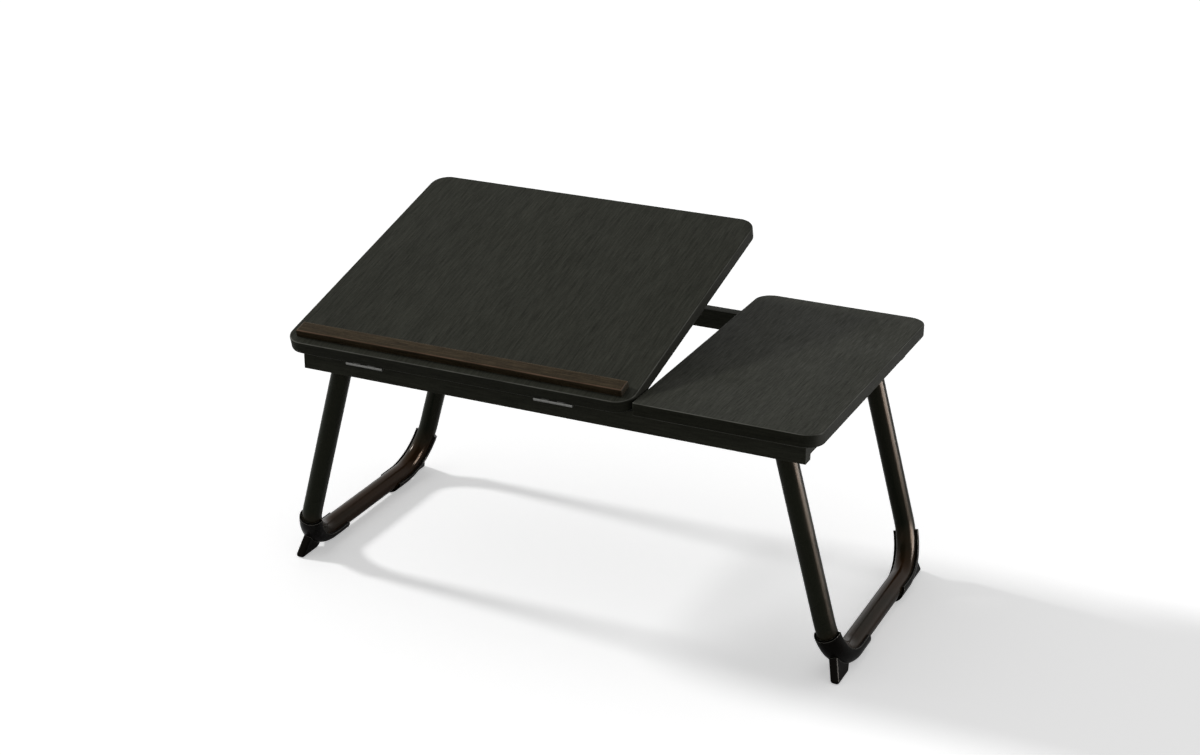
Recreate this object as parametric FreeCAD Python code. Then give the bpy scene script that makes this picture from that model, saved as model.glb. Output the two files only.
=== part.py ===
import FreeCAD, Part
import os
from math import atan2, cos, hypot, radians, sin, tan

# A folding bed table. Two boards lie on a frame of rails: the right one is fixed and the left one
# tilts on two butt hinges and is held up by a wire prop over two notched racks. Two U-shaped tube
# legs fold in under the frame. Millimetres, +Z up, +X along the boards, -Y at the user's side. The
# origin is on the floor, under the middle of everything at rest.

V = FreeCAD.Vector
AXIS_X, AXIS_Y, AXIS_Z = V(1, 0, 0), V(0, 1, 0), V(0, 0, 1)

# ---- boards
TOP_LENGTH = 600.0          # both boards and the gap, end to end
TOP_DEPTH = 350.0           # front edge to back edge
TOP_HEIGHT = 280.0          # floor to the upper face of the fixed board
BOARD_T = 14.0              # thickness of both boards
FIXED_WIDTH = 195.0         # the fixed board, along X
BOARD_GAP = 1.0             # between the two boards
CORNER_R = 20.0             # rounded corners, seen from above
NEAR_CORNER_R = 3.0         # the fixed board's front corner beside the tilting board
EDGE_R = 1.5                # rounding of the upper and lower edges
TILT = 15.0                 # angle of the tilting board at rest, degrees

# ---- stop strip on the tilting board
STRIP_LENGTH = 380.0
STRIP_DEPTH = 17.0
STRIP_H = 8.0
STRIP_SETBACK = 10.5        # from the board's front edge
STRIP_R = 1.8               # rounding of its upper edges
STRIP_SCREW_BITE = 5.0      # how far its screws reach into it
STRIP_SCREW_INSET = 30.0    # of the outer screws from the strip's ends

# ---- frame
RAIL_T = 14.0
RAIL_H = 22.0
END_OVERHANG = 16.0         # board end to rail end
FRONT_OVERHANG = 11.0       # board front edge to front rail
BACK_OVERHANG = 27.0        # board back edge to back rail
CROSS_T = 14.0
CROSS_INSET = 4.0           # rail end to the cross rail's outer face
DOWEL_D = 6.0
DOWEL_LENGTH = 24.0
DOWEL_IN_RAIL = 10.0
DOWEL_EDGE = 6.0            # dowel centres from the rail's upper and lower faces
BUMPER_D = 10.0
BUMPER_H = 1.3
BUMPER_INSET = 72.0         # from the tilting board's sides
RAIL_EASE = 0.8             # rounding of the rails' long edges

# ---- tilt hinges
HINGE_LENGTH = 44.0
HINGE_SPREAD = 110.5        # each side of the middle between them
HINGE_SHIFT = 5.5           # of that middle from the tilting board's
LEAF_DEPTH = 21.0           # pin axis to the leaf's far edge
LEAF_T = 1.0
LEAF_PLAY = 0.1             # each leaf is let in this much below its surface
KNUCKLE_R = 1.8
KNUCKLES = 5
KNUCKLE_GAP = 0.25
PIN_R = 0.8
PIN_PLAY = 0.05             # radial, in the board's knuckles
PIN_SETBACK = 2.0           # board front edge to the pin axis
PIN_DROP = 2.4              # board underside to the pin axis
LEAF_SCREW_Y = 17.0         # pin axis to the leaf screws
LEAF_SCREW_INSET = 8.0      # from the ends of a leaf

# ---- prop and racks
PROP_REACH = 135.0          # hinge pin to prop pivot along the board, and prop pivot to prop foot
PROP_ROD_R = 3.0
PROP_PIVOT_DROP = 4.5       # board underside to the prop pivot
PROP_ARM_X = 42.0           # each arm from the tilting board's middle
PROP_FOOT_X = 58.0          # each end of the foot rod
PROP_TOP_X = 57.0           # each end of the pivot rod
CLIP_WIDTH = 10.0
CLIP_ARM_GAP = 1.0          # between an arm and its clip
CLIP_DEPTH = 24.0
CLIP_WALL = 2.0
CLIP_PLAY = 0.05            # radial, around the pivot rod
CLIP_SCREW_Y = 8.5
STRAP_WIDTH = 16.0
STRAP_T = 3.0
STRAP_X = 60.0              # inner edge of each strap from the tilting board's middle
STRAP_END_INSET = 2.0       # of the strap's ends from the rails' outer faces
STRAP_SINK = 0.2            # strap's upper face below the rails' upper faces
RACK_ARM_GAP = 3.0          # between a prop arm and its rack
RACK_FLANGE = 14.0          # width of the part under the strap
RACK_BODY_H = 5.0           # below the notches
RACK_MARGIN = 9.0           # past the first and last notch
NOTCH_DEPTH = 3.0
NOTCH_PLAY = 0.2
ROD_CLEARANCE = 0.35        # from the path of the prop's foot rod to the tooth tips
STOPS = (15.0, 20.0, 25.0, 30.0, 35.0)   # board angles of the notches, degrees

# ---- legs
TUBE_D = 22.0
TUBE_WALL = 1.5
LEG_INSET = 49.0            # board end to the leg pivots
PIVOT_DROP = 16.0           # board underside to the leg pivots
SPLAY = 15.2                # legs open, degrees from upright
BAR_HEIGHT = 15.0           # floor to the centre of the bottom bar
BEND_R = 50.0               # centre line of the bends
TUBE_TOP_R = 11.4           # rounded upper ends of the tube, about the pivot
WASHER_T = 1.7
WASHER_R = 7.5
SIDE_PLAY = 0.3             # washer to tube and tube to bolt head
BOLT_R = 3.0
BOLT_PLAY = 0.05            # radial, in the tube
BOLT_BITE = 10.0            # into the rail
BOLT_HEAD_R = 6.0
BOLT_HEAD_H = 3.2
SOCKET_R = 2.3              # hexagon socket, centre to corner
SOCKET_DEPTH = 1.8
PLUG_GAP = 1.0              # bolt to plug, inside the tube
STOP_PLAY = 0.3             # open leg to stop pad
PAD_H = 15.0
PAD_WIDTH = 18.0

# ---- feet
SADDLE_WALL = 3.0
SADDLE_PLAY = 0.1           # radial, around the tube and the peg
SADDLE_UP = 32.0            # from the bar's centre line up, at the outside of the bend
SADDLE_UP_SLANT = 20.0      # degrees by which its end rises towards the lips
SADDLE_ALONG = 77.0         # from the upright's centre line along the bar, underneath
SADDLE_ALONG_SLANT = 20.0   # degrees by which its end falls back towards the lips
SADDLE_CHEEK = 1.0          # how far the lips pass the tube's centre line
SPUR_T = 9.5
SPUR_R = 3.0                # rounding of its edges
SPUR_TIP = 10.0             # tip, out past the upright's centre line
SPUR_SOLE = 32.0            # length that stands on the floor
SPUR_FRONT_LEAN = 21.0      # degrees from upright
SPUR_BACK_LEAN = 46.0
SPUR_ROOT = 16.0            # top of the spur above the bar's centre line
PEG_R = 2.0                 # locates the saddle in a hole in the tube
PEG_LENGTH = 2.0            # past the tube's inner wall
PEG_ALONG = 64.0            # from the upright's centre line

# ---- screws
SCREW_R = 1.6
SCREW_HEAD_R = 3.2
SCREW_HEAD_H = 1.9
RAIL_SCREW_LENGTH = 29.0    # rail to fixed board
RAIL_SCREW_INSET = 40.0     # of the outer screws from the fixed board's sides
STRAP_SCREW_LENGTH = 12.0
RACK_SCREW_BITE = 2.2       # into the strap
LEAF_SCREW_LENGTH = 9.0
SLOT_W = 0.8
SLOT_DEPTH = 0.9

# ---- places worked out from the sizes
UNDERSIDE = TOP_HEIGHT - BOARD_T
RAIL_Z = UNDERSIDE - RAIL_H
LIP_REACH = ((PIN_SETBACK - EDGE_R) * cos(radians(TILT))
             + (BOARD_T + PIN_DROP - EDGE_R) * sin(radians(TILT)) + EDGE_R)
FRONT_Y = -(TOP_DEPTH + PIN_SETBACK - LIP_REACH) / 2
BACK_Y = FRONT_Y + TOP_DEPTH
LEFT_X, RIGHT_X = -TOP_LENGTH / 2, TOP_LENGTH / 2
FIXED_X = RIGHT_X - FIXED_WIDTH
TILT_RIGHT_X = FIXED_X - BOARD_GAP
TILT_MID_X = (LEFT_X + TILT_RIGHT_X) / 2
FRONT_RAIL_Y = FRONT_Y + FRONT_OVERHANG
BACK_RAIL_Y = BACK_Y - BACK_OVERHANG - RAIL_T
BAY_FRONT_Y = FRONT_RAIL_Y + RAIL_T
RAIL_END_X = RIGHT_X - END_OVERHANG
CROSS_X = RAIL_END_X - CROSS_INSET - CROSS_T
PIN_Y = FRONT_Y + PIN_SETBACK
PIN_Z = UNDERSIDE - PIN_DROP
PROP_DIP = PROP_PIVOT_DROP - PIN_DROP
PROP_ARM = hypot(PROP_REACH, PROP_DIP)
PROP_SLOPE = atan2(PROP_DIP, PROP_REACH)
TUBE_R = TUBE_D / 2
BORE_R = TUBE_R - TUBE_WALL
LEG_X = RIGHT_X - LEG_INSET
LEG_Z = UNDERSIDE - PIVOT_DROP
LEG_FRONT_Y = BAY_FRONT_Y + WASHER_T + SIDE_PLAY + TUBE_R
LEG_BACK_Y = BACK_RAIL_Y - WASHER_T - SIDE_PLAY - TUBE_R
LEG_LENGTH = (LEG_Z - BAR_HEIGHT) / cos(radians(SPLAY))
SADDLE_IN_R = TUBE_R + SADDLE_PLAY
SADDLE_OUT_R = SADDLE_IN_R + SADDLE_WALL
SIDES = {-1: "left", 1: "right"}
PIVOT_ENDS = {"front": (BAY_FRONT_Y, 1), "back": (BACK_RAIL_Y, -1)}   # rail face and the way inward


def box(x0, x1, y0, y1, z0, z1):
    return Part.makeBox(x1 - x0, y1 - y0, z1 - z0, V(x0, y0, z0))


def rod(radius, start, end):
    run = end - start
    return Part.makeCylinder(radius, run.Length, start, run)


def turned(shape, point, axis, angle):
    copy = shape.copy()
    copy.rotate(point, axis, angle)
    return copy


def on_side(shape, side):
    """A piece drawn on the right of the table, or its mirror image on the left."""
    return shape if side > 0 else shape.mirror(V(0, 0, 0), AXIS_X)


def prism(points, width, x_mid):
    """A shape drawn in the YZ plane, given its width along X."""
    corners = [V(x_mid - width / 2, y, z) for y, z in points]
    return Part.Face(Part.makePolygon(corners + corners[:1])).extrude(V(width, 0, 0))


def cut_all(shape, tools):
    for tool in tools:
        shape = shape.cut(tool)
    return shape


def group(shapes):
    return shapes[0] if len(shapes) == 1 else Part.makeCompound(shapes)


def screw(head, direction, length):
    """A countersunk screw whose flat head is at the point head, with a slot in it."""
    away = head + direction * SCREW_HEAD_H
    cone = Part.makeCone(SCREW_HEAD_R, SCREW_R, SCREW_HEAD_H, head, direction)
    body = cone.fuse(rod(SCREW_R, away, head + direction * length)).removeSplitter()
    slot = Part.makeBox(2 * SCREW_HEAD_R, SLOT_W, 2 * SLOT_DEPTH,
                        V(-SCREW_HEAD_R, -SLOT_W / 2, -SLOT_DEPTH))
    slot.Placement = FreeCAD.Placement(head, FreeCAD.Rotation(AXIS_Z, direction))
    return body, body.cut(slot)


def screws(heads, direction, length):
    """Pairs of the solid that a screw fills and the screw itself."""
    pairs = [screw(head, direction, length) for head in heads]
    return [filled for filled, _ in pairs], [real for _, real in pairs]


# ---- boards and strip

def board(x0, x1, corner_radii):
    """A board with rounded edges. Its corner radii start at the front left and go round by the right."""
    corners = [V(x0, FRONT_Y, UNDERSIDE), V(x1, FRONT_Y, UNDERSIDE),
               V(x1, BACK_Y, UNDERSIDE), V(x0, BACK_Y, UNDERSIDE)]
    ways = [AXIS_X, AXIS_Y, AXIS_X * -1, AXIS_Y * -1]    # along the side that follows each corner
    arcs = []
    for i, (corner, radius) in enumerate(zip(corners, corner_radii)):
        leaving, coming = ways[i], ways[i - 1]
        bulge = corner + (leaving - coming) * (radius * (1 - cos(radians(45))))
        arcs.append((corner - coming * radius, bulge, corner + leaving * radius))
    edges = []
    for i, (start, bulge, end) in enumerate(arcs):
        edges.append(Part.Arc(start, bulge, end).toShape())
        edges.append(Part.LineSegment(end, arcs[(i + 1) % 4][0]).toShape())
    plate = Part.Face(Part.Wire(edges)).extrude(V(0, 0, BOARD_T))
    rims = [e for e in plate.Edges if abs(e.BoundBox.ZMax - e.BoundBox.ZMin) < BOARD_T / 2]
    return plate.makeFillet(EDGE_R, rims)


def stop_strip():
    x0, x1 = TILT_MID_X - STRIP_LENGTH / 2, TILT_MID_X + STRIP_LENGTH / 2
    y0 = FRONT_Y + STRIP_SETBACK
    strip = box(x0, x1, y0, y0 + STRIP_DEPTH, TOP_HEIGHT, TOP_HEIGHT + STRIP_H)
    top = [e for e in strip.Edges if e.BoundBox.ZMin > TOP_HEIGHT]
    return strip.makeFillet(STRIP_R, top)


def strip_screw_heads():
    reach = STRIP_LENGTH / 2 - STRIP_SCREW_INSET
    y = FRONT_Y + STRIP_SETBACK + STRIP_DEPTH / 2
    return [V(TILT_MID_X + x, y, UNDERSIDE) for x in (-reach, 0, reach)]


# ---- frame

def eased(rail):
    """A rail with its four long edges rounded."""
    size = rail.BoundBox
    length = max(size.XLength, size.YLength)
    return rail.makeFillet(RAIL_EASE, [e for e in rail.Edges if e.Length > length / 2])


def long_rail(y):
    return eased(box(-RAIL_END_X, RAIL_END_X, y, y + RAIL_T, RAIL_Z, UNDERSIDE))


def cross_rail():
    return eased(box(CROSS_X, CROSS_X + CROSS_T, BAY_FRONT_Y, BACK_RAIL_Y, RAIL_Z, UNDERSIDE))


def dowels():
    x = CROSS_X + CROSS_T / 2
    found = []
    for side in (-1, 1):
        for z in (RAIL_Z + DOWEL_EDGE, UNDERSIDE - DOWEL_EDGE):
            front, back = BAY_FRONT_Y - DOWEL_IN_RAIL, BACK_RAIL_Y + DOWEL_IN_RAIL
            found.append(rod(DOWEL_D / 2, V(side * x, front, z), V(side * x, front + DOWEL_LENGTH, z)))
            found.append(rod(DOWEL_D / 2, V(side * x, back, z), V(side * x, back - DOWEL_LENGTH, z)))
    return found


def rail_screw_heads():
    mid_x = (FIXED_X + RIGHT_X) / 2
    reach = FIXED_WIDTH / 2 - RAIL_SCREW_INSET
    return [V(mid_x + x, y + RAIL_T / 2, RAIL_Z)
            for y in (FRONT_RAIL_Y, BACK_RAIL_Y) for x in (-reach, 0, reach)]


def bumper(side):
    half = (TILT_RIGHT_X - LEFT_X) / 2
    foot_point = V(TILT_MID_X + side * (half - BUMPER_INSET), BACK_RAIL_Y + RAIL_T / 2, UNDERSIDE)
    return rod(BUMPER_D / 2, foot_point, foot_point + AXIS_Z * BUMPER_H)


# ---- tilt hinges, drawn closed

def knuckle_spans(x_mid, first):
    """Every second knuckle of a hinge, as start and end along X."""
    step = HINGE_LENGTH / KNUCKLES
    x0 = x_mid - HINGE_LENGTH / 2
    return [(x0 + i * step + KNUCKLE_GAP / 2, x0 + (i + 1) * step - KNUCKLE_GAP / 2)
            for i in range(first, KNUCKLES, 2)]


def frame_leaf(x_mid):
    top = UNDERSIDE - LEAF_PLAY
    near = PIN_Y + KNUCKLE_R + LEAF_T / 2
    half = HINGE_LENGTH / 2
    leaf = box(x_mid - half, x_mid + half, near, PIN_Y + LEAF_DEPTH, top - LEAF_T, top)
    for x0, x1 in knuckle_spans(x_mid, 0):
        leaf = leaf.fuse(box(x0, x1, PIN_Y, near, top - LEAF_T, top))
        leaf = leaf.fuse(rod(KNUCKLE_R, V(x0, PIN_Y, PIN_Z), V(x1, PIN_Y, PIN_Z)))
    bore = rod(PIN_R, V(x_mid - half, PIN_Y, PIN_Z), V(x_mid + half, PIN_Y, PIN_Z))
    return leaf.cut(bore).removeSplitter()


def board_leaf(x_mid):
    low = UNDERSIDE + LEAF_PLAY
    half = HINGE_LENGTH / 2
    leaf = box(x_mid - half, x_mid + half, PIN_Y + KNUCKLE_R, PIN_Y + LEAF_DEPTH, low, low + LEAF_T)
    for x0, x1 in knuckle_spans(x_mid, 1):
        leaf = leaf.fuse(box(x0, x1, PIN_Y - LEAF_T / 2, PIN_Y + KNUCKLE_R, low, low + LEAF_T))
        leaf = leaf.fuse(box(x0, x1, PIN_Y - LEAF_T / 2, PIN_Y + LEAF_T / 2, PIN_Z, low + LEAF_T))
        leaf = leaf.fuse(rod(KNUCKLE_R, V(x0, PIN_Y, PIN_Z), V(x1, PIN_Y, PIN_Z)))
    bore = rod(PIN_R + PIN_PLAY, V(x_mid - half, PIN_Y, PIN_Z), V(x_mid + half, PIN_Y, PIN_Z))
    return leaf.cut(bore).removeSplitter()


def leaf_mortise(x_mid, z0, z1):
    """The recess of a leaf, open to the front."""
    half = HINGE_LENGTH / 2
    return box(x_mid - half, x_mid + half, FRONT_Y - LEAF_T, PIN_Y + LEAF_DEPTH, z0, z1)


def hinge_pin(x_mid):
    half = HINGE_LENGTH / 2
    return rod(PIN_R, V(x_mid - half, PIN_Y, PIN_Z), V(x_mid + half, PIN_Y, PIN_Z))


def leaf_screw_heads(x_mid, z):
    reach = HINGE_LENGTH / 2 - LEAF_SCREW_INSET
    return [V(x_mid + x, PIN_Y + LEAF_SCREW_Y, z) for x in (-reach, reach)]


# ---- prop, clips, straps and racks

def prop_pivot():
    """Prop pivot with the board closed, as Y and Z."""
    return PIN_Y + PROP_REACH, PIN_Z - PROP_DIP


def prop_foot(angle):
    """Centre of the foot rod when the board stands at this angle, as Y and Z."""
    run = 2 * PROP_ARM * cos(radians(angle))
    return PIN_Y + run * cos(PROP_SLOPE), PIN_Z - run * sin(PROP_SLOPE)


def prop_frame():
    """The welded wire frame, drawn closed."""
    y0, z0 = prop_pivot()
    y1, z1 = prop_foot(0)

    def at(x, y, z):
        return V(TILT_MID_X + x, y, z)

    frame = rod(PROP_ROD_R, at(-PROP_TOP_X, y0, z0), at(PROP_TOP_X, y0, z0))
    frame = frame.fuse(rod(PROP_ROD_R, at(-PROP_FOOT_X, y1, z1), at(PROP_FOOT_X, y1, z1)))
    for x in (-PROP_ARM_X, PROP_ARM_X):
        frame = frame.fuse(rod(PROP_ROD_R, at(x, y0, z0), at(x, y1, z1)))
    return frame.removeSplitter()


def clip_x(side):
    return TILT_MID_X + side * (PROP_ARM_X + PROP_ROD_R + CLIP_ARM_GAP + CLIP_WIDTH / 2)


def prop_clip(side):
    """A plastic saddle under the board, drawn closed."""
    y, z = prop_pivot()
    x0, x1 = clip_x(side) - CLIP_WIDTH / 2, clip_x(side) + CLIP_WIDTH / 2
    outer = PROP_ROD_R + CLIP_WALL
    base = box(x0, x1, y - CLIP_DEPTH / 2, y + CLIP_DEPTH / 2, UNDERSIDE - CLIP_WALL, UNDERSIDE)
    web = box(x0, x1, y - outer, y + outer, z, UNDERSIDE)
    below = box(x0, x1, y - CLIP_DEPTH, y + CLIP_DEPTH, z - outer, UNDERSIDE)
    clip = base.fuse(web).fuse(rod(outer, V(x0, y, z), V(x1, y, z)).common(below))
    return clip.cut(rod(PROP_ROD_R + CLIP_PLAY, V(x0, y, z), V(x1, y, z))).removeSplitter()


def clip_screw_heads(side):
    y, _ = prop_pivot()
    return [V(clip_x(side), y + dy, UNDERSIDE - CLIP_WALL) for dy in (-CLIP_SCREW_Y, CLIP_SCREW_Y)]


def strap_span(side):
    inner, outer = TILT_MID_X + side * STRAP_X, TILT_MID_X + side * (STRAP_X + STRAP_WIDTH)
    return min(inner, outer), max(inner, outer)


def strap(side):
    x0, x1 = strap_span(side)
    top = UNDERSIDE - STRAP_SINK
    return box(x0, x1, FRONT_RAIL_Y + STRAP_END_INSET, BACK_RAIL_Y + RAIL_T - STRAP_END_INSET,
               top - STRAP_T, top)


def strap_recess(side):
    x0, x1 = strap_span(side)
    return box(x0, x1, FRONT_RAIL_Y + STRAP_END_INSET, BACK_RAIL_Y + RAIL_T - STRAP_END_INSET,
               UNDERSIDE - STRAP_SINK - STRAP_T, UNDERSIDE + STRAP_T)


def strap_screw_heads(side):
    x = sum(strap_span(side)) / 2
    return [V(x, y + RAIL_T / 2, UNDERSIDE - STRAP_SINK) for y in (FRONT_RAIL_Y, BACK_RAIL_Y)]


def tip_z(y):
    """Height of the tooth tips, just under the straight path of the foot rod."""
    return PIN_Z - (y - PIN_Y) * tan(PROP_SLOPE) - (PROP_ROD_R + ROD_CLEARANCE) / cos(PROP_SLOPE)


def rack_bottom():
    _, back = rack_ends()
    return tip_z(back) - NOTCH_DEPTH - RACK_BODY_H


def rack_ends():
    front, _ = prop_foot(STOPS[-1])
    back, _ = prop_foot(STOPS[0])
    return front - RACK_MARGIN, back + RACK_MARGIN


def rack_inner_x(side):
    return TILT_MID_X + side * (PROP_ARM_X + PROP_ROD_R + RACK_ARM_GAP)


def rack(side):
    """A plastic rack: notched beside the prop arm, and full height under the strap."""
    front, back = rack_ends()
    bottom = rack_bottom()
    seat = PROP_ROD_R + NOTCH_PLAY
    outline = [(back, bottom), (back, tip_z(back))]
    for angle in STOPS:
        y, _ = prop_foot(angle)
        wall, low = y + seat, tip_z(y) - NOTCH_DEPTH
        outline += [(wall, tip_z(wall)), (wall, low), (y - seat / 2, low)]
    outline += [(y - seat / 2 - NOTCH_DEPTH, tip_z(y - seat / 2 - NOTCH_DEPTH)), (front, tip_z(front)),
                (front, bottom)]
    inner, strap_x = rack_inner_x(side), TILT_MID_X + side * STRAP_X
    teeth = prism(outline, abs(strap_x - inner), (inner + strap_x) / 2)
    flange = [(front, bottom), (front, UNDERSIDE - STRAP_SINK - STRAP_T),
              (back, UNDERSIDE - STRAP_SINK - STRAP_T), (back, bottom)]
    return teeth.fuse(prism(flange, RACK_FLANGE, strap_x + side * RACK_FLANGE / 2)).removeSplitter()


def rack_screw_heads(side):
    front, back = rack_ends()
    x = TILT_MID_X + side * (STRAP_X + RACK_FLANGE / 2)
    return [V(x, y, rack_bottom()) for y in (front + RACK_MARGIN, back - RACK_MARGIN)]


def rack_screw_length():
    return UNDERSIDE - STRAP_SINK - STRAP_T - rack_bottom() + RACK_SCREW_BITE


# ---- legs, drawn on the right, hanging straight down from a pivot at the height zero

def leg_path(front_top, back_top):
    """Centre line of the U: down the front upright, along the bar, up the back upright."""
    low, d = -LEG_LENGTH, BEND_R * (1 - cos(radians(45)))
    f, b = LEG_FRONT_Y, LEG_BACK_Y
    p = [V(0, f, front_top), V(0, f, low + BEND_R), V(0, f + d, low + d), V(0, f + BEND_R, low),
         V(0, b - BEND_R, low), V(0, b - d, low + d), V(0, b, low + BEND_R), V(0, b, back_top)]
    return Part.Wire([Part.LineSegment(p[0], p[1]).toShape(), Part.Arc(p[1], p[2], p[3]).toShape(),
                      Part.LineSegment(p[3], p[4]).toShape(), Part.Arc(p[4], p[5], p[6]).toShape(),
                      Part.LineSegment(p[6], p[7]).toShape()])


def swept(radius, path):
    start = path.Vertexes[0].Point
    ring = Part.Wire([Part.Circle(start, AXIS_Z, radius).toShape()])
    return path.makePipeShell([ring], True, False)


def rounded_top(radius, y, low):
    """A tube end of this radius, above low, rounded about the pivot."""
    post = rod(radius, V(0, y, low), V(0, y, 2 * TUBE_TOP_R))
    return post.common(rod(TUBE_TOP_R, V(0, y - TUBE_D, 0), V(0, y + TUBE_D, 0)))


def leg_tube():
    path = leg_path(0, 0)
    tube = swept(TUBE_R, path)
    bore = swept(BORE_R, path)
    for y in (LEG_FRONT_Y, LEG_BACK_Y):
        tube = tube.fuse(rounded_top(TUBE_R, y, 0))
        bore = bore.fuse(rod(BORE_R, V(0, y, 0), V(0, y, 2 * TUBE_TOP_R)))
    tube = tube.cut(bore)
    for y in (LEG_FRONT_Y, LEG_BACK_Y):
        tube = tube.cut(rod(BOLT_R + BOLT_PLAY, V(0, y - TUBE_D, 0), V(0, y + TUBE_D, 0)))
    return tube.removeSplitter()


def leg_plug(y):
    return rounded_top(BORE_R, y, BOLT_R + PLUG_GAP)


def pivot_bolt(y_rail, inward):
    """Bolt from the rail through the upright, with a domed head on the inside."""
    way = V(0, inward, 0)
    face = V(LEG_X, y_rail, LEG_Z)
    seat = face + way * (WASHER_T + 2 * SIDE_PLAY + TUBE_D)
    head = Part.makeCylinder(BOLT_HEAD_R, BOLT_HEAD_H, seat, way)
    far = max(head.Edges, key=lambda e: e.BoundBox.Center.y * inward)
    head = head.makeFillet(BOLT_HEAD_H / 2, [far])
    bolt = head.fuse(rod(BOLT_R, face - way * BOLT_BITE, seat)).removeSplitter()
    outer = seat + way * BOLT_HEAD_H
    corners = [outer + V(SOCKET_R * cos(radians(60 * i)), 0, SOCKET_R * sin(radians(60 * i)))
               for i in range(7)]
    return bolt.cut(Part.Face(Part.makePolygon(corners)).extrude(way * -SOCKET_DEPTH))


def pivot_washer(y_rail, inward):
    way = V(0, inward, 0)
    face = V(LEG_X, y_rail, LEG_Z)
    ring = Part.makeCylinder(WASHER_R, WASHER_T, face, way)
    return ring.cut(Part.makeCylinder(BOLT_R, WASHER_T, face, way))


def stop_pad(y_rail, inward):
    """A pad on the cross rail that lies along the open leg below its pivot and clears its end above."""
    y0, y1 = sorted((y_rail + inward * WASHER_T, y_rail + inward * (WASHER_T + PAD_WIDTH)))
    beside = LEG_X + (TUBE_R + STOP_PLAY) / cos(radians(SPLAY))
    low = beside + (LEG_Z - RAIL_Z) * tan(radians(SPLAY))
    clear = max(beside, LEG_X + TUBE_TOP_R + STOP_PLAY)
    outline = [(CROSS_X, RAIL_Z), (low, RAIL_Z), (clear, LEG_Z), (clear, RAIL_Z + PAD_H),
               (CROSS_X, RAIL_Z + PAD_H)]
    corners = [V(x, y0, z) for x, z in outline]
    return Part.Face(Part.makePolygon(corners + corners[:1])).extrude(V(0, y1 - y0, 0))


# ---- feet, drawn at the front bend of the hanging right leg

def saddle_path():
    low, d = -LEG_LENGTH, BEND_R * (1 - cos(radians(45)))
    f = LEG_FRONT_Y
    p = [V(0, f, low + BEND_R + TUBE_R), V(0, f, low + BEND_R), V(0, f + d, low + d),
         V(0, f + BEND_R, low), V(0, f + SADDLE_ALONG, low)]
    return Part.Wire([Part.LineSegment(p[0], p[1]).toShape(), Part.Arc(p[1], p[2], p[3]).toShape(),
                      Part.LineSegment(p[3], p[4]).toShape()])


def channel(radius, cheek):
    """A bar of U section along the saddle: round outside the bend, straight up to its cheeks inside."""
    path = saddle_path()
    f, z = LEG_FRONT_Y, path.Vertexes[0].Point.z
    near, far = V(-radius, f, z), V(radius, f, z)
    edge_near, edge_far = V(-radius, f + cheek, z), V(radius, f + cheek, z)
    section = Part.Wire([Part.LineSegment(edge_near, near).toShape(),
                         Part.Arc(near, V(0, f - radius, z), far).toShape(),
                         Part.LineSegment(far, edge_far).toShape(),
                         Part.LineSegment(edge_far, edge_near).toShape()])
    return path.makePipeShell([section], True, False)


def spur():
    """The wedge under the bend, drawn a little past the floor."""
    f, low = LEG_FRONT_Y, -LEG_LENGTH
    floor = low - BAR_HEIGHT / cos(radians(SPLAY))
    sunk, top = SPUR_T * tan(radians(SPLAY)), low + SPUR_ROOT

    def front(z):
        return f - SPUR_TIP + (z - floor) * tan(radians(SPUR_FRONT_LEAN))

    def back(z):
        return f - SPUR_TIP + SPUR_SOLE + (z - floor) * tan(radians(SPUR_BACK_LEAN))

    below = floor - sunk
    return prism([(front(below), below), (front(top), top), (back(top), top), (back(below), below)],
                 SPUR_T, 0)


def peg_place():
    """Middle of the saddle's peg, on the inner wall of the tube."""
    return V(0, LEG_FRONT_Y + PEG_ALONG, -LEG_LENGTH - BORE_R)


def standing_spur():
    """The wedge, cut at the floor with the leg open, and rounded round its sides and sole."""
    floor = V(0, LEG_FRONT_Y, -LEG_LENGTH - BAR_HEIGHT / cos(radians(SPLAY)))
    deep = SPUR_T * 2
    under = box(-deep, deep, LEG_FRONT_Y - TUBE_D, LEG_FRONT_Y + SADDLE_ALONG, floor.z - deep, floor.z)
    wedge = spur().cut(turned(under, floor, AXIS_Y, SPLAY))
    top = wedge.BoundBox.ZMax
    radius = min(SPUR_R, SPUR_SOLE / 4, SPUR_T / 3)
    return wedge.makeFillet(radius, [e for e in wedge.Edges if e.BoundBox.ZMin < top - radius])


def foot():
    f, low = LEG_FRONT_Y, -LEG_LENGTH
    body = channel(SADDLE_OUT_R, SADDLE_CHEEK).fuse(standing_spur())
    body = body.cut(channel(SADDLE_IN_R, TUBE_D))
    across = 2 * SADDLE_OUT_R
    rise = across * tan(radians(SADDLE_UP_SLANT))
    above = low + BEND_R + across
    top = prism([(f - SADDLE_OUT_R, low + SADDLE_UP), (f + SADDLE_OUT_R, low + SADDLE_UP + rise),
                 (f + SADDLE_OUT_R, above), (f - SADDLE_OUT_R, above)], 2 * across, 0)
    fall = across * tan(radians(SADDLE_ALONG_SLANT))
    beyond = f + SADDLE_ALONG + TUBE_R
    end = prism([(f + SADDLE_ALONG, low - SADDLE_OUT_R), (f + SADDLE_ALONG - fall, low + SADDLE_OUT_R),
                 (beyond, low + SADDLE_OUT_R), (beyond, low - SADDLE_OUT_R)], 2 * across, 0)
    place = peg_place()
    root = TUBE_WALL + SADDLE_PLAY + SADDLE_WALL / 2
    peg = rod(PEG_R, place - AXIS_Z * root, place + AXIS_Z * PEG_LENGTH)
    return body.cut(top).cut(end).fuse(peg).removeSplitter()


def to_back(shape):
    """The same piece at the back of the table's leg."""
    return shape.mirror(V(0, (LEG_FRONT_Y + LEG_BACK_Y) / 2, 0), AXIS_Y)


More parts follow.
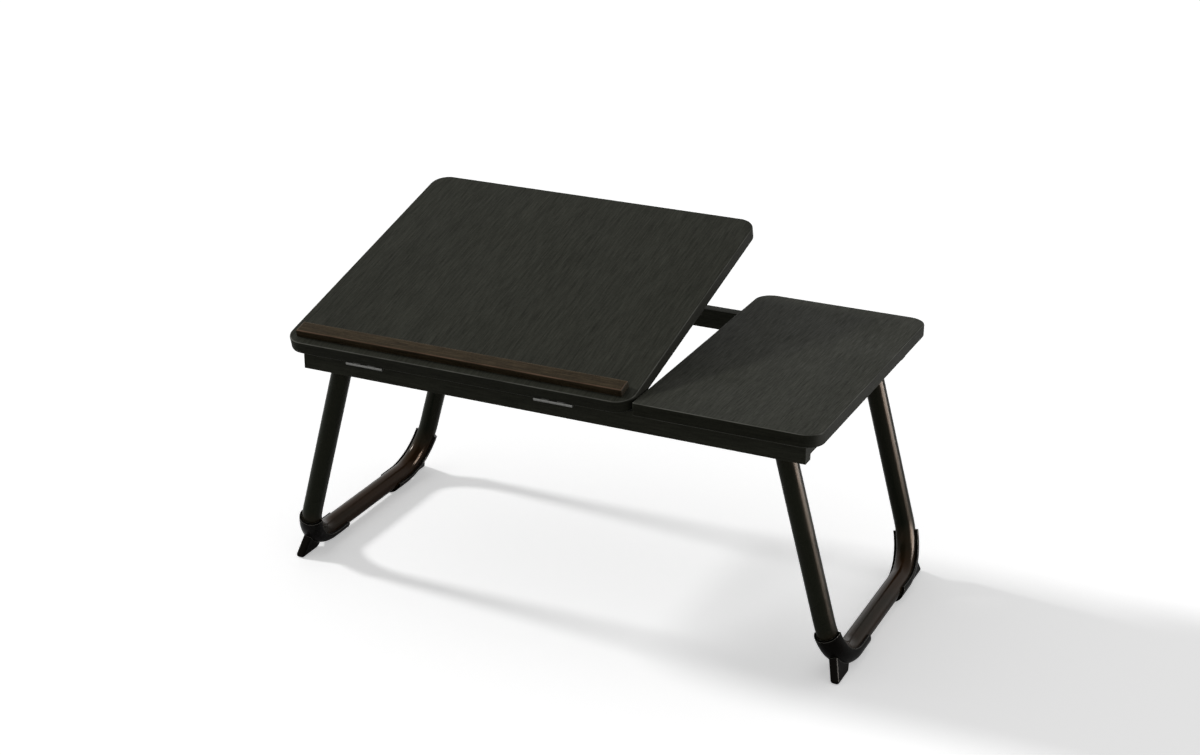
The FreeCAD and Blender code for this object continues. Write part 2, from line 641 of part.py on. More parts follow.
def opened(shape):
    """A piece of the right leg, swung out to its open place."""
    copy = turned(shape, V(0, 0, 0), AXIS_Y, -SPLAY)
    copy.translate(V(LEG_X, 0, LEG_Z))
    return copy


# ---- the whole table

def tilted(shape):
    return turned(shape, V(0, PIN_Y, PIN_Z), AXIS_X, TILT)


def propped(shape):
    """The prop swings back by twice the board's angle, so that its foot stays on a straight line."""
    y, z = prop_pivot()
    return tilted(turned(shape, V(0, y, z), AXIS_X, -2 * TILT))


def hinge_x(side):
    return TILT_MID_X + HINGE_SHIFT + side * HINGE_SPREAD


def leaf_heads(z):
    return [head for side in SIDES for head in leaf_screw_heads(hinge_x(side), z)]


def frame_parts():
    up, down = AXIS_Z, AXIS_Z * -1
    strap_heads = [head for side in SIDES for head in strap_screw_heads(side)]
    rack_heads = [head for side in SIDES for head in rack_screw_heads(side)]
    board_fill, board_screws = screws(rail_screw_heads(), up, RAIL_SCREW_LENGTH)
    strap_fill, strap_screws = screws(strap_heads, down, STRAP_SCREW_LENGTH)
    rack_fill, rack_screws = screws(rack_heads, up, rack_screw_length())
    leaf_fill, leaf_screws = screws(leaf_heads(UNDERSIDE - LEAF_PLAY), down, LEAF_SCREW_LENGTH)
    bolts = {(side, end): on_side(pivot_bolt(*place), side)
             for side in SIDES for end, place in PIVOT_ENDS.items()}
    mortises = [leaf_mortise(hinge_x(side), UNDERSIDE - LEAF_PLAY - LEAF_T, UNDERSIDE + LEAF_T)
                for side in SIDES]
    recesses = [strap_recess(side) for side in SIDES]
    rail_tools = board_fill + strap_fill + leaf_fill + list(bolts.values()) + dowels() + recesses
    parts = {}
    parts["fixed_board"] = cut_all(board(FIXED_X, RIGHT_X, [NEAR_CORNER_R] + [CORNER_R] * 3), board_fill)
    parts["front_rail"] = cut_all(long_rail(FRONT_RAIL_Y), rail_tools + mortises)
    parts["back_rail"] = cut_all(long_rail(BACK_RAIL_Y), rail_tools)
    parts["rail_dowels"] = group(dowels())
    parts["rail_screws"] = group(board_screws)
    parts["strap_screws"] = group(strap_screws)
    parts["rack_screws"] = group(rack_screws)
    parts["frame_leaf_screws"] = group(leaf_screws)
    for side, name in SIDES.items():
        parts[f"cross_rail_{name}"] = cut_all(on_side(cross_rail(), side), dowels())
        parts[f"rack_strap_{name}"] = cut_all(strap(side), strap_fill + rack_fill)
        parts[f"rack_{name}"] = cut_all(rack(side), rack_fill)
        parts[f"frame_leaf_{name}"] = cut_all(frame_leaf(hinge_x(side)), leaf_fill)
        parts[f"hinge_pin_{name}"] = hinge_pin(hinge_x(side))
        parts[f"bumper_{name}"] = bumper(side)
        for end, place in PIVOT_ENDS.items():
            parts[f"pivot_bolt_{name}_{end}"] = bolts[(side, end)]
            parts[f"pivot_washer_{name}_{end}"] = on_side(pivot_washer(*place), side)
            parts[f"stop_pad_{name}_{end}"] = on_side(stop_pad(*place), side)
    return parts


def tilting_parts():
    clip_heads = [head for side in SIDES for head in clip_screw_heads(side)]
    strip_fill, strip_screws = screws(strip_screw_heads(), AXIS_Z, BOARD_T + STRIP_SCREW_BITE)
    leaf_fill, leaf_screws = screws(leaf_heads(UNDERSIDE + LEAF_PLAY), AXIS_Z, LEAF_SCREW_LENGTH)
    clip_fill, clip_screws = screws(clip_heads, AXIS_Z, LEAF_SCREW_LENGTH)
    mortises = [leaf_mortise(hinge_x(side), UNDERSIDE - LEAF_T, UNDERSIDE + LEAF_PLAY + LEAF_T)
                for side in SIDES]
    parts = {}
    board_tools = strip_fill + leaf_fill + clip_fill + mortises
    parts["tilt_board"] = cut_all(board(LEFT_X, TILT_RIGHT_X, [CORNER_R] * 4), board_tools)
    parts["stop_strip"] = cut_all(stop_strip(), strip_fill)
    parts["strip_screws"] = group(strip_screws)
    parts["board_leaf_screws"] = group(leaf_screws)
    parts["prop_clip_screws"] = group(clip_screws)
    for side, name in SIDES.items():
        parts[f"board_leaf_{name}"] = cut_all(board_leaf(hinge_x(side)), leaf_fill)
        parts[f"prop_clip_{name}"] = cut_all(prop_clip(side), clip_fill)
    parts = {name: tilted(shape) for name, shape in parts.items()}
    parts["prop_frame"] = propped(prop_frame())
    return parts


def leg_parts():
    place = peg_place()
    hole = rod(PEG_R + SADDLE_PLAY, place - AXIS_Z * 2 * TUBE_WALL, place + AXIS_Z * 2 * TUBE_WALL)
    right = {"tube": opened(cut_all(leg_tube(), [hole, to_back(hole)])),
             "plug_front": opened(leg_plug(LEG_FRONT_Y)),
             "plug_back": opened(leg_plug(LEG_BACK_Y)),
             "foot_front": opened(foot()),
             "foot_back": opened(to_back(foot()))}
    return {f"leg_{name}_{piece}": on_side(shape, side)
            for side, name in SIDES.items() for piece, shape in right.items()}


os.makedirs("parts", exist_ok=True)
for node, shape in {**frame_parts(), **tilting_parts(), **leg_parts()}.items():
    if not shape.isValid():
        raise ValueError(f"{node} is not a valid shape")
    shape.exportStep(f"parts/{node}.step")
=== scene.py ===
# A folding bed table: two boards on a frame of rails, the left one tilted on hinges over a wire prop,
# on two splayed legs of bent tube with moulded feet. Metres, +Z up, the user's side towards -Y.
import bpy
import numpy as np
from mathutils import Matrix, Vector

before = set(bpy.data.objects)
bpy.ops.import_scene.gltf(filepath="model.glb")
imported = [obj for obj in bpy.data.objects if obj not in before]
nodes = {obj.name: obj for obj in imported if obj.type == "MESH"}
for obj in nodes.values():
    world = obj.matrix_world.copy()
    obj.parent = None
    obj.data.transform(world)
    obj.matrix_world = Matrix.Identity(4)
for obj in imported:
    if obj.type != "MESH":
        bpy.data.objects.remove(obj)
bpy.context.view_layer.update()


# ---- Rails
# Four lengths of fibreboard wrapped in a black foil with an ash grain printed and pressed along
# them, dowelled together at the corners. The lacquer over the foil yellows what it reflects.

def finish_node(name, material):
    """Gives the node the one material."""
    slots = nodes[name].data.materials
    slots.clear()
    slots.append(material)


def grey(level):
    """The grey of one level."""
    return (level, level, level)


def new_material(name, base, roughness, specular, cast=(1, 1, 1)):
    """An opaque material, with its node tree and its shader. The cast tints what it mirrors."""
    material = bpy.data.materials.new(name)
    material.use_nodes = True
    tree = material.node_tree
    shader = tree.nodes["Principled BSDF"]
    shader.inputs["Base Color"].default_value = (*base, 1)
    shader.inputs["Roughness"].default_value = roughness
    shader.inputs["Specular IOR Level"].default_value = specular
    shader.inputs["Specular Tint"].default_value = (*cast, 1)
    return material, tree, shader


def link(tree, *pairs):
    """Joins each output to each input, given in turn."""
    for start, end in zip(pairs[::2], pairs[1::2]):
        tree.links.new(start, end)


def math_node(tree, operation, *values):
    """A math node, with its inputs set to the values that are given."""
    node = tree.nodes.new("ShaderNodeMath")
    node.operation = operation
    for socket, value in zip(node.inputs, values):
        if value is not None:
            socket.default_value = value
    return node


def own_place(tree, turn=0.0):
    """The piece's own coordinates, turned back by an angle about X for a piece that lies tilted."""
    place = tree.nodes.new("ShaderNodeTexCoord")
    level = tree.nodes.new("ShaderNodeMapping")
    level.vector_type = "TEXTURE"
    level.inputs["Rotation"].default_value = (turn, 0, 0)
    link(tree, place.outputs["Object"], level.inputs["Vector"])
    return level.outputs["Vector"]


def noise_at(tree, waves, detail, turn=0.0):
    """Noise with so many waves to the metre, given once or for each of the piece's axes."""
    stretch = tree.nodes.new("ShaderNodeMapping")
    stretch.inputs["Scale"].default_value = waves if isinstance(waves, tuple) else grey(waves)
    noise = tree.nodes.new("ShaderNodeTexNoise")
    noise.inputs["Scale"].default_value = 1
    noise.inputs["Detail"].default_value = detail
    link(tree, own_place(tree, turn), stretch.inputs["Vector"], stretch.outputs["Vector"],
         noise.inputs["Vector"])
    return noise.outputs["Fac"]


def ramp_of(tree, source, *stops):
    """A colour ramp over a grey value. Each stop is a place and a colour or a grey level."""
    ramp = tree.nodes.new("ShaderNodeValToRGB")
    elements = ramp.color_ramp.elements
    while len(elements) < len(stops):
        elements.new(0.5)
    for element, (place, colour) in zip(elements, stops):
        element.position = place
        element.color = (*(colour if isinstance(colour, tuple) else grey(colour)), 1)
    link(tree, source, ramp.inputs["Fac"])
    return ramp.outputs["Color"]


def patches(tree, pattern, low, high):
    """Noise as a change from one colour or grey level to another. The pattern gives its waves to the
    metre, its detail, and the values of the noise at which the low and the high end are reached."""
    waves, detail, low_at, high_at = pattern
    return ramp_of(tree, noise_at(tree, waves, detail), (low_at, low), (high_at, high))


def bumped(tree, shader, source, height, strength, under=None):
    """Raises the surface by a grey value times a height in metres, over an earlier bump if given."""
    bump = tree.nodes.new("ShaderNodeBump")
    bump.inputs["Distance"].default_value = height
    bump.inputs["Strength"].default_value = strength
    link(tree, source, bump.inputs["Height"], bump.outputs["Normal"], shader.inputs["Normal"])
    if under:
        link(tree, under, bump.inputs["Normal"])


def mixed(tree, share, under, over, blend="MIX"):
    """The colour under, with the share of the colour over that the grey value or number gives."""
    mix = tree.nodes.new("ShaderNodeMix")
    mix.data_type, mix.blend_type = "RGBA", blend
    share_in, under_in, over_in = mix.inputs[0], mix.inputs[6], mix.inputs[7]
    link(tree, under, under_in)
    if isinstance(share, float):
        share_in.default_value = share
    else:
        link(tree, share, share_in)
    if isinstance(over, tuple):
        over_in.default_value = (*over, 1)
    else:
        link(tree, over, over_in)
    return mix.outputs[2]


def weighed(tree, *parts):
    """The sum of grey values, each times its weight."""
    total = None
    for source, weight in parts:
        term = math_node(tree, "MULTIPLY_ADD", None, weight, 0)
        link(tree, source, term.inputs[0])
        if total:
            link(tree, total, term.inputs[2])
        total = term.outputs["Value"]
    return total


# Waves to the metre along and across the grain, detail, and share in the printed figure.
PORES, RAYS, STREAKS = (44, 900, 4, 0.40), (22, 330, 3, 0.28), (3, 45, 2, 0.12)
SPECK_WAVES, SPECK_DETAIL, SPECK_SHARE = 420, 3, 0.20
FIGURE_DARK, FIGURE_PALE = 0.36, 0.64     # where the figure is at its darkest and palest
PORE_FROM, PORE_TO = 0.35, 0.65           # from inside a pore to the smooth foil beside it
PORE_HEIGHT, PORE_STRENGTH, PORE_DULLING = 0.00010, 0.6, 0.12
FOIL_CAST = (1.0, 0.98, 0.86)


def grain(tree, along, turn=0.0):
    """Pressed wood grain: pores, wider rays and slow streaks drawn out along one axis, with specks."""
    drawn = []
    for length, width, detail, share in (PORES, RAYS, STREAKS):
        waves = tuple(length if axis in along else width for axis in "XYZ")
        drawn.append((noise_at(tree, waves, detail, turn), share))
    specks = noise_at(tree, SPECK_WAVES, SPECK_DETAIL)
    pores = drawn[0][0]
    return pores, weighed(tree, *drawn, (specks, SPECK_SHARE))


def figured(tree, figure, dark, pale):
    """The printed figure, from its dark tone to its pale one."""
    return ramp_of(tree, figure, (FIGURE_DARK, dark), (FIGURE_PALE, pale))


def grain_foil(name, along, dark, pale, roughness, specular):
    """Wood-grain foil, duller in its pores. Returned with its tree and the colour of its figure."""
    material, tree, shader = new_material(name, dark, roughness, specular, FOIL_CAST)
    pores, figure = grain(tree, along)
    tone = figured(tree, figure, dark, pale)
    gloss = ramp_of(tree, pores, (PORE_FROM, roughness + PORE_DULLING), (PORE_TO, roughness))
    link(tree, tone, shader.inputs["Base Color"], gloss, shader.inputs["Roughness"])
    bumped(tree, shader, pores, PORE_HEIGHT, PORE_STRENGTH)
    return material, tree, tone


RAIL_DARK, RAIL_PALE = (0.0150, 0.0153, 0.0112), (0.0380, 0.0388, 0.0288)
RAIL_ROUGHNESS, RAIL_SPECULAR = 0.5, 0.045
RAILS = {"front_rail": "X", "back_rail": "X", "cross_rail_left": "Y", "cross_rail_right": "Y"}
for rail, along in RAILS.items():
    finish_node(rail, grain_foil(f"{rail}_foil", along, RAIL_DARK, RAIL_PALE, RAIL_ROUGHNESS,
                                 RAIL_SPECULAR)[0])


# ---- Boards
# Fibreboard with a charcoal ash-grain laminate on both faces, the grain running from front to back,
# and a plainer, blacker foil round the edge. A painted highlight runs along the rounded arrises.

BOARD_DARK, BOARD_PALE = (0.0128, 0.0133, 0.0096), (0.0415, 0.0425, 0.0330)
EDGE_DARK, EDGE_PALE = (0.0074, 0.0077, 0.0053), (0.0220, 0.0226, 0.0160)
# The colour of the painted highlight along the arrises of boards and strip and the edges of mouldings.
PAINTED_HIGHLIGHT = (0.165, 0.165, 0.145)
BOARD_ROUGHNESS, BOARD_SPECULAR = 0.5, 0.042
BOARD_TILT = np.radians(15)
ARRIS_HIGHLIGHT_MOST = 0.8                          # most share of the painted highlight tone on an arris
ARRIS_FROM, ARRIS_FULL, ARRIS_FADES, ARRIS_TO = 0.40, 0.62, 0.86, 0.98
# Patches that make the painted arris highlight stronger in some places than in others.
HIGHLIGHT_PATCHES, LEAST_HIGHLIGHT = (30, 3, 0.36, 0.62), 0.45
FOIL_ENDS, LAMINATE_STARTS = 0.80, 0.97   # of the surface's lean, across the arris
SMUDGE_WAVES, SMUDGE_DETAIL, SMUDGE_SHARE, PORE_SHARE = 11, 4, 0.4, 0.6
DULL_AT, POLISHED_AT, DULLING, POLISHING = 0.38, 0.62, 0.10, 0.04


def arris_highlight(tree, lean):
    """The share of painted highlight along the rounded arrises, more in some places than in others."""
    arris_band = ramp_of(tree, lean, (ARRIS_FROM, 0), (ARRIS_FULL, ARRIS_HIGHLIGHT_MOST), (ARRIS_FADES, ARRIS_HIGHLIGHT_MOST),
                  (ARRIS_TO, 0))
    patchy = patches(tree, HIGHLIGHT_PATCHES, LEAST_HIGHLIGHT, 1)
    highlight_share = math_node(tree, "MULTIPLY")
    link(tree, arris_band, highlight_share.inputs[0], patchy, highlight_share.inputs[1])
    return highlight_share.outputs["Value"]


def lean_of(tree, turn):
    """1 where the surface lies flat along a board turned about X, and 0 on the board's edges."""
    place = tree.nodes.new("ShaderNodeTexCoord")
    lean = tree.nodes.new("ShaderNodeVectorMath")
    lean.operation = "DOT_PRODUCT"
    lean.inputs[1].default_value = (0, -np.sin(turn), np.cos(turn))
    flat = math_node(tree, "ABSOLUTE")
    link(tree, place.outputs["Normal"], lean.inputs[0], lean.outputs["Value"], flat.inputs[0])
    return flat.outputs["Value"]


def board_laminate(name, turn):
    """Laminate on the faces and foil on the edges of a board that lies turned about X."""
    material, tree, shader = new_material(name, BOARD_DARK, BOARD_ROUGHNESS, BOARD_SPECULAR, FOIL_CAST)
    pores, face_figure = grain(tree, "Y", turn)
    _, edge_figure = grain(tree, "XY", turn)
    lean = lean_of(tree, turn)
    foil = mixed(tree, ramp_of(tree, lean, (FOIL_ENDS, 0), (LAMINATE_STARTS, 1)),
                 figured(tree, edge_figure, EDGE_DARK, EDGE_PALE),
                 figured(tree, face_figure, BOARD_DARK, BOARD_PALE))
    # A painted highlight along the arrises, over the foil.
    link(tree, mixed(tree, arris_highlight(tree, lean), foil, PAINTED_HIGHLIGHT), shader.inputs["Base Color"])
    smudges = noise_at(tree, SMUDGE_WAVES, SMUDGE_DETAIL)
    gloss = ramp_of(tree, weighed(tree, (pores, PORE_SHARE), (smudges, SMUDGE_SHARE)),
                    (DULL_AT, BOARD_ROUGHNESS + DULLING), (POLISHED_AT, BOARD_ROUGHNESS - POLISHING))
    link(tree, gloss, shader.inputs["Roughness"])
    bumped(tree, shader, pores, PORE_HEIGHT, PORE_STRENGTH)
    return material


for board, turn in {"fixed_board": 0.0, "tilt_board": BOARD_TILT}.items():
    finish_node(board, board_laminate(f"{board}_laminate", turn))


# ---- Stop strip
# A solid slat, foiled in brown walnut, screwed on from below to keep things on the tilted board.

STRIP_DARK, STRIP_PALE = (0.012, 0.0082, 0.0040), (0.070, 0.050, 0.027)
# The colour of the painted highlight along the strip's arrises.
STRIP_HIGHLIGHT = (0.200, 0.125, 0.085)
STRIP_ROUGHNESS, STRIP_SPECULAR = 0.45, 0.05
STRIP_SIDE_SHADE = 0.80                        # of the figure's tone left under the painted shade on the front, back and ends
SIDE_SHADE_ENDS, TOP_STARTS = 0.30, 0.80


def walnut(name):
    """Walnut foil, with painted shade on the strip's front, back and ends, and a painted highlight along
    its arrises.
    """
    material, tree, figure = grain_foil(name, "X", STRIP_DARK, STRIP_PALE, STRIP_ROUGHNESS,
                                        STRIP_SPECULAR)
    lean = lean_of(tree, BOARD_TILT)
    # Painted shade on the strip's front, back and ends.
    side_shade = ramp_of(tree, lean, (SIDE_SHADE_ENDS, STRIP_SIDE_SHADE), (TOP_STARTS, 1))
    shaded = mixed(tree, 1.0, figure, side_shade, "MULTIPLY")
    # A painted highlight along the strip's arrises, over the painted shade.
    link(tree, mixed(tree, arris_highlight(tree, lean), shaded, STRIP_HIGHLIGHT),
         tree.nodes["Principled BSDF"].inputs["Base Color"])
    return material


finish_node("stop_strip", walnut("walnut_foil"))


# ---- Legs
# Round steel tube bent to a U and painted dark bronze, with a fine metallic fleck under the gloss. The
# bottom bars carry a patchy painted coppery sheen and are a little glossier.

BRONZE, BRONZE_FLECK = (0.0080, 0.0118, 0.0080), (0.0175, 0.0220, 0.0150)
BAR_SHEEN, BRONZE_CAST = (0.0400, 0.0205, 0.0095), (1.0, 0.72, 0.54)
PAINT_ROUGHNESS, PAINT_SPECULAR = 0.24, 0.076
FLECKS, MARKS, MARK_DULLING = (1400, 2, 0.42, 0.72), (24, 3, 0.45, 0.70), 0.10
PEEL_WAVES, PEEL_DETAIL, PEEL_HEIGHT, PEEL_STRENGTH = 260, 2, 0.00003, 0.5
SHEEN_FROM, SHEEN_FULL_BELOW = 0.062, 0.030    # heights above the floor where the painted sheen starts and where it is full
SHEEN_PATCHES, LEAST_SHEEN = ((60, 12, 60), 3, 0.35, 0.60), 0.3
BAR_ROUGHNESS = 0.15                           # roughness of the bottom bars
SIDES = ("left", "right")


def metallic_paint(name):
    """Gloss paint with a fine fleck, a faint orange peel, a few dull fingermarks, and a painted coppery
    sheen on the lower, glossier bars.
    """
    material, tree, shader = new_material(name, BRONZE, PAINT_ROUGHNESS, PAINT_SPECULAR, BRONZE_CAST)
    tone = patches(tree, FLECKS, BRONZE, BRONZE_FLECK)
    place = tree.nodes.new("ShaderNodeSeparateXYZ")
    low = tree.nodes.new("ShaderNodeMapRange")
    low.inputs["From Min"].default_value = SHEEN_FROM
    low.inputs["From Max"].default_value = SHEEN_FULL_BELOW
    sheen_share = math_node(tree, "MULTIPLY")
    link(tree, own_place(tree), place.inputs["Vector"], place.outputs["Z"], low.inputs["Value"],
         low.outputs["Result"], sheen_share.inputs[0], patches(tree, SHEEN_PATCHES, LEAST_SHEEN, 1), sheen_share.inputs[1])
    gloss = patches(tree, MARKS, PAINT_ROUGHNESS, PAINT_ROUGHNESS + MARK_DULLING)
    # A painted coppery sheen on the bottom bars, and a lower roughness there.
    link(tree, mixed(tree, sheen_share.outputs["Value"], tone, BAR_SHEEN), shader.inputs["Base Color"],
         mixed(tree, sheen_share.outputs["Value"], gloss, grey(BAR_ROUGHNESS)), shader.inputs["Roughness"])
    bumped(tree, shader, noise_at(tree, PEEL_WAVES, PEEL_DETAIL), PEEL_HEIGHT, PEEL_STRENGTH)
    return material


tube_paint = metallic_paint("tube_paint")
for side in SIDES:
    finish_node(f"leg_{side}_tube", tube_paint)


# ---- Mouldings
# Feet, plugs, racks, clips and pads are injection moulded in black nylon, a little glossy where the
# mould was polished and finely sparked elsewhere. Their edges carry a painted highlight like the boards'
# arrises.

BODY_SHINE, EDGE_SHINE, NYLON_CAST = 0.038, 0.5, (1.0, 0.90, 0.80)
MOULD_EDGE_R = 0.0007
EDGE_TURNS, FACE_TURNS = 0.90, 0.985      # cosines between the rounded and the true normal
SPARK_WAVES, SPARK_DETAIL, SPARK_STRENGTH = 900, 4, 0.6
WEAR, WEAR_DULLING, WEAR_POLISH = (60, 3, 0.3, 0.7), 0.08, 0.05
FOOT_BLACK, FOOT_ROUGHNESS, FOOT_SPARK = (0.0042, 0.0038, 0.0030), 0.24, 0.00001
HIDDEN_BLACK, HIDDEN_ROUGHNESS, HIDDEN_SPARK = (0.012, 0.012, 0.012), 0.5, 0.00003
ENDS = ("front", "back")


def moulding(name, base, roughness, spark_height):
    """Moulded plastic with a fine even spark texture and slightly rounded, shinier edges that carry a
    painted highlight.
    """
    material, tree, shader = new_material(name, base, roughness, BODY_SHINE, NYLON_CAST)
    soft_edges = tree.nodes.new("ShaderNodeBevel")
    soft_edges.inputs["Radius"].default_value = MOULD_EDGE_R
    true_way = tree.nodes.new("ShaderNodeNewGeometry")
    agree = tree.nodes.new("ShaderNodeVectorMath")
    agree.operation = "DOT_PRODUCT"
    link(tree, soft_edges.outputs["Normal"], agree.inputs[0], true_way.outputs["Normal"], agree.inputs[1])
    edge = agree.outputs["Value"]
    gloss = patches(tree, WEAR, roughness + WEAR_DULLING, roughness - WEAR_POLISH)
    # A painted highlight in the colour of the edges, and more specular there.
    link(tree, ramp_of(tree, edge, (EDGE_TURNS, PAINTED_HIGHLIGHT), (FACE_TURNS, base)), shader.inputs["Base Color"],
         ramp_of(tree, edge, (EDGE_TURNS, EDGE_SHINE), (FACE_TURNS, BODY_SHINE)),
         shader.inputs["Specular IOR Level"], gloss, shader.inputs["Roughness"])
    bumped(tree, shader, noise_at(tree, SPARK_WAVES, SPARK_DETAIL), spark_height, SPARK_STRENGTH,
           soft_edges.outputs["Normal"])
    return material


foot_plastic = moulding("foot_plastic", FOOT_BLACK, FOOT_ROUGHNESS, FOOT_SPARK)
hidden_plastic = moulding("hidden_plastic", HIDDEN_BLACK, HIDDEN_ROUGHNESS, HIDDEN_SPARK)
for side in SIDES:
    for end in ENDS:
        finish_node(f"leg_{side}_foot_{end}", foot_plastic)
        finish_node(f"leg_{side}_plug_{end}", hidden_plastic)
        finish_node(f"stop_pad_{side}_{end}", hidden_plastic)
        finish_node(f"pivot_washer_{side}_{end}", hidden_plastic)
    finish_node(f"rack_{side}", hidden_plastic)
    finish_node(f"prop_clip_{side}", hidden_plastic)
    finish_node(f"bumper_{side}", hidden_plastic)


# ---- Metal fittings
# Hinges, pins and screws are zinc plated steel, and the prop is bright nickel plated wire. Straps
# and pivot bolts are black.

ZINC, ZINC_ROUGHNESS, ZINC_LINES = (0.19, 0.19, 0.18), 0.38, (30, 900, 900)
NICKEL, NICKEL_ROUGHNESS, NICKEL_WAVES = (0.68, 0.67, 0.64), 0.16, 200
OXIDE, OXIDE_ROUGHNESS, OXIDE_WAVES = (0.035, 0.034, 0.033), 0.35, 300
METAL_SPECULAR, LINE_DETAIL = 0.5, 3
LINE_FROM, LINE_TO, LINE_DULLING, LINE_POLISH = 0.3, 0.7, 0.1, 0.05
LINE_HEIGHT, LINE_STRENGTH = 0.00002, 0.4


def plated(name, base, roughness, waves):
    """Plated steel. It is rolled along X where it has fewer waves to the metre along that axis."""
    material, tree, shader = new_material(name, base, roughness, METAL_SPECULAR)
    shader.inputs["Metallic"].default_value = 1.0
    lines = noise_at(tree, waves, LINE_DETAIL)
    gloss = ramp_of(tree, lines, (LINE_FROM, roughness + LINE_DULLING), (LINE_TO, roughness - LINE_POLISH))
    link(tree, gloss, shader.inputs["Roughness"])
    bumped(tree, shader, lines, LINE_HEIGHT, LINE_STRENGTH)
    return material


zinc = plated("zinc_plate", ZINC, ZINC_ROUGHNESS, ZINC_LINES)
nickel = plated("nickel_plate", NICKEL, NICKEL_ROUGHNESS, NICKEL_WAVES)
black_steel = plated("black_oxide", OXIDE, OXIDE_ROUGHNESS, OXIDE_WAVES)
for name in ("rail", "strap", "rack", "frame_leaf", "strip", "board_leaf", "prop_clip"):
    finish_node(f"{name}_screws", zinc)
for side in SIDES:
    for name in ("frame_leaf", "board_leaf", "hinge_pin"):
        finish_node(f"{name}_{side}", zinc)
    finish_node(f"rack_strap_{side}", black_steel)
    for end in ENDS:
        finish_node(f"pivot_bolt_{side}_{end}", black_steel)
finish_node("prop_frame", nickel)


# ---- Dowels
# Plain beech pegs, glued across the joints of the rails, with their grain along them.

BEECH_DARK, BEECH_PALE = (0.35, 0.22, 0.12), (0.55, 0.38, 0.22)
BEECH_ROUGHNESS, BEECH_SPECULAR = 0.6, 0.3
beech = grain_foil("beech", "Y", BEECH_DARK, BEECH_PALE, BEECH_ROUGHNESS, BEECH_SPECULAR)[0]
finish_node("rail_dowels", beech)


# ---- Floor
# A plain white studio floor that fades into the white behind it and keeps the table's shadow. It
# glows a little for the camera alone, and sends less light back than it seems to.

FLOOR_REACH, FLOOR_WHITE, FLOOR_ROUGHNESS = 6.0, 0.97, 0.9
FLOOR_GLOW, FLOOR_DULL = 0.40, 0.45


def seen_directly(tree):
    """1 for rays from the camera or mirrored and passed through on their way, and 0 for diffuse light."""
    ray = tree.nodes.new("ShaderNodeLightPath")
    total = math_node(tree, "ADD")
    both = math_node(tree, "ADD")
    both.use_clamp = True
    link(tree, ray.outputs["Is Camera Ray"], total.inputs[0], ray.outputs["Is Glossy Ray"], total.inputs[1],
         total.outputs["Value"], both.inputs[0], ray.outputs["Is Transmission Ray"], both.inputs[1])
    return both.outputs["Value"]


floor_mesh = bpy.data.meshes.new("studio_floor")
corners = np.array([(-1, -1), (1, -1), (1, 1), (-1, 1)]) * FLOOR_REACH
floor_mesh.from_pydata([(x, y, 0) for x, y in corners], [], [(0, 1, 2, 3)])
floor = bpy.data.objects.new("studio_floor", floor_mesh)
bpy.context.collection.objects.link(floor)
floor_material, floor_tree, floor_shader = new_material("floor_white", grey(FLOOR_WHITE),
                                                        FLOOR_ROUGHNESS, 0.0)
floor_shader.inputs["Emission Color"].default_value = (1, 1, 1, 1)
glow = math_node(floor_tree, "MULTIPLY", None, FLOOR_GLOW)
dull = floor_tree.nodes.new("ShaderNodeBsdfDiffuse")
dull.inputs["Color"].default_value = (*grey(FLOOR_DULL), 1)
seen = floor_tree.nodes.new("ShaderNodeMixShader")
link(floor_tree, floor_tree.nodes.new("ShaderNodeLightPath").outputs["Is Camera Ray"], glow.inputs[0],
     glow.outputs["Value"], floor_shader.inputs["Emission Strength"],
     seen_directly(floor_tree), seen.inputs["Fac"], dull.outputs["BSDF"], seen.inputs[1],
     floor_shader.outputs["BSDF"], seen.inputs[2],
     seen.outputs["Shader"], floor_tree.nodes["Material Output"].inputs["Surface"])
floor_mesh.materials.append(floor_material)


# ---- Light
# A white room, brightest overhead, one soft lamp low on the left that throws the long shadows, and a
# long panel low at the right that only shows in the gloss.

SKY_LOW, SKY_HIGH = 0.26, 0.59
world = bpy.data.worlds.new("studio")
bpy.context.scene.world = world
world.use_nodes = True
world_tree = world.node_tree
white = world_tree.nodes["Background"]
white.inputs["Color"].default_value = (1, 1, 1, 1)
white.inputs["Strength"].default_value = 1.0
room = world_tree.nodes.new("ShaderNodeBackground")
way = world_tree.nodes.new("ShaderNodeTexCoord")
rise = world_tree.nodes.new("ShaderNodeSeparateXYZ")
level = world_tree.nodes.new("ShaderNodeMapRange")
level.inputs["To Min"].default_value = SKY_LOW
level.inputs["To Max"].default_value = SKY_HIGH
shown = world_tree.nodes.new("ShaderNodeMixShader")
link(world_tree, way.outputs["Generated"], rise.inputs["Vector"], rise.outputs["Z"], level.inputs["Value"],
     level.outputs["Result"], room.inputs["Strength"], seen_directly(world_tree), shown.inputs["Fac"],
     room.outputs["Background"], shown.inputs[1], white.outputs["Background"], shown.inputs[2],
     shown.outputs["Shader"], world_tree.nodes["World Output"].inputs["Surface"])


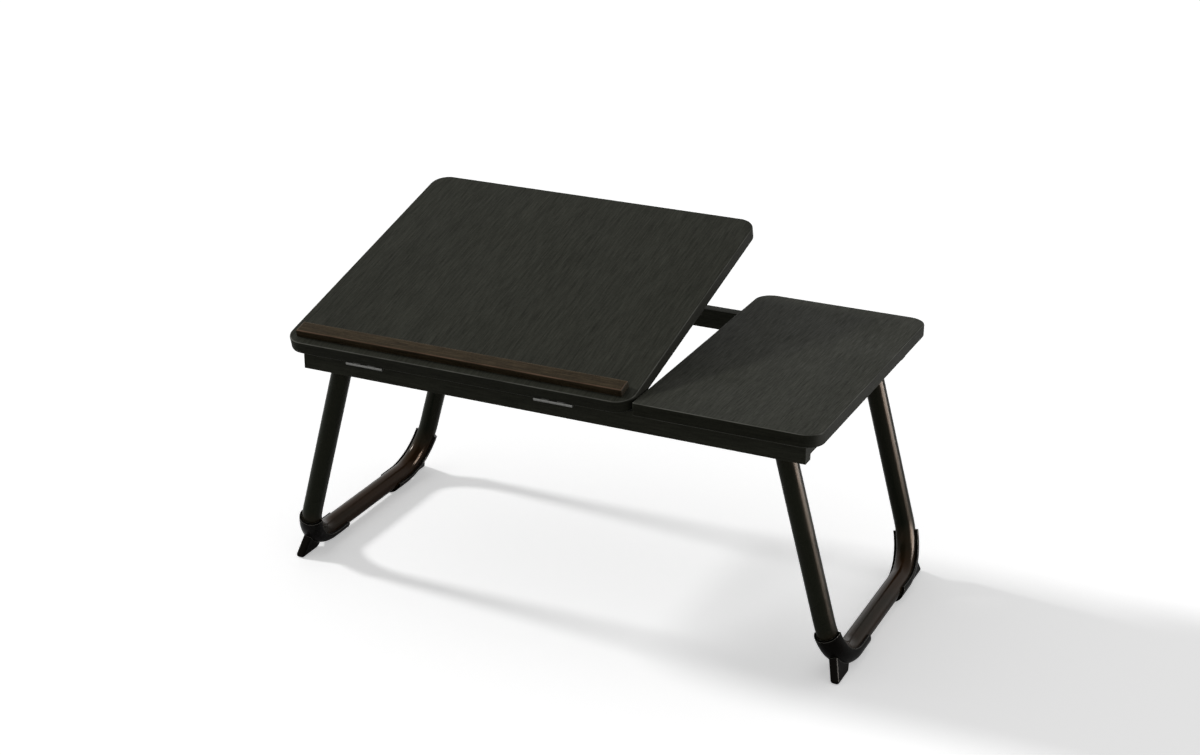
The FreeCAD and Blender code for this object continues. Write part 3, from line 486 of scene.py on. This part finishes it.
def place_lamp(name, data, direction, distance=0.0):
    """Turns a lamp to shine from a direction, given as its turn from +X and its rise, in degrees."""
    turn, rise = np.radians(direction)
    source = Vector((np.cos(turn) * np.cos(rise), np.sin(turn) * np.cos(rise), np.sin(rise)))
    lamp = bpy.data.objects.new(name, data)
    lamp.rotation_euler = source.to_track_quat("Z", "Y").to_euler()
    lamp.location = source * distance
    bpy.context.collection.objects.link(lamp)
    return lamp


KEY_LEVEL, KEY_SPREAD, KEY_FROM = 1.95, 8.0, (178.4, 29.0)
key = bpy.data.lights.new("left_lamp", "SUN")
key.energy = KEY_LEVEL
key.angle = np.radians(KEY_SPREAD)
place_lamp("left_lamp", key, KEY_FROM)

PANEL_POWER, PANEL_SIZE, PANEL_FROM, PANEL_DISTANCE = 145.0, (1.3, 0.8), (10.0, 12.0), 2.0
panel = bpy.data.lights.new("right_panel", "AREA")
panel.shape = "RECTANGLE"
panel.size, panel.size_y = PANEL_SIZE
panel.energy = PANEL_POWER
panel_lamp = place_lamp("right_panel", panel, PANEL_FROM, PANEL_DISTANCE)
panel_lamp.visible_camera = False
panel_lamp.visible_diffuse = False


# ---- Camera
# Above and to the right of the user's side, looking down across the table.

TURN, DROP, ROLL = np.radians((25.51, 22.38, 0.12))
CAMERA_AT = (0.87908, -1.86674, 1.07342)
LENS, SENSOR, FARTHEST = 61.79, 36, 50
ahead = np.array([-np.sin(TURN) * np.cos(DROP), np.cos(TURN) * np.cos(DROP), -np.sin(DROP)])
level_right = np.array([np.cos(TURN), np.sin(TURN), 0])
level_up = np.cross(level_right, ahead)
right = np.cos(ROLL) * level_right + np.sin(ROLL) * level_up
up = np.cos(ROLL) * level_up - np.sin(ROLL) * level_right
camera_data = bpy.data.cameras.new("camera")
camera_data.lens = LENS
camera_data.sensor_width = SENSOR
camera_data.clip_end = FARTHEST
camera = bpy.data.objects.new("camera", camera_data)
pose = np.eye(4)
pose[:3, 0], pose[:3, 1], pose[:3, 2], pose[:3, 3] = right, up, -ahead, CAMERA_AT
camera.matrix_world = Matrix(pose.tolist())
bpy.context.collection.objects.link(camera)
bpy.context.scene.camera = camera
bpy.context.scene.view_settings.view_transform = "Standard"
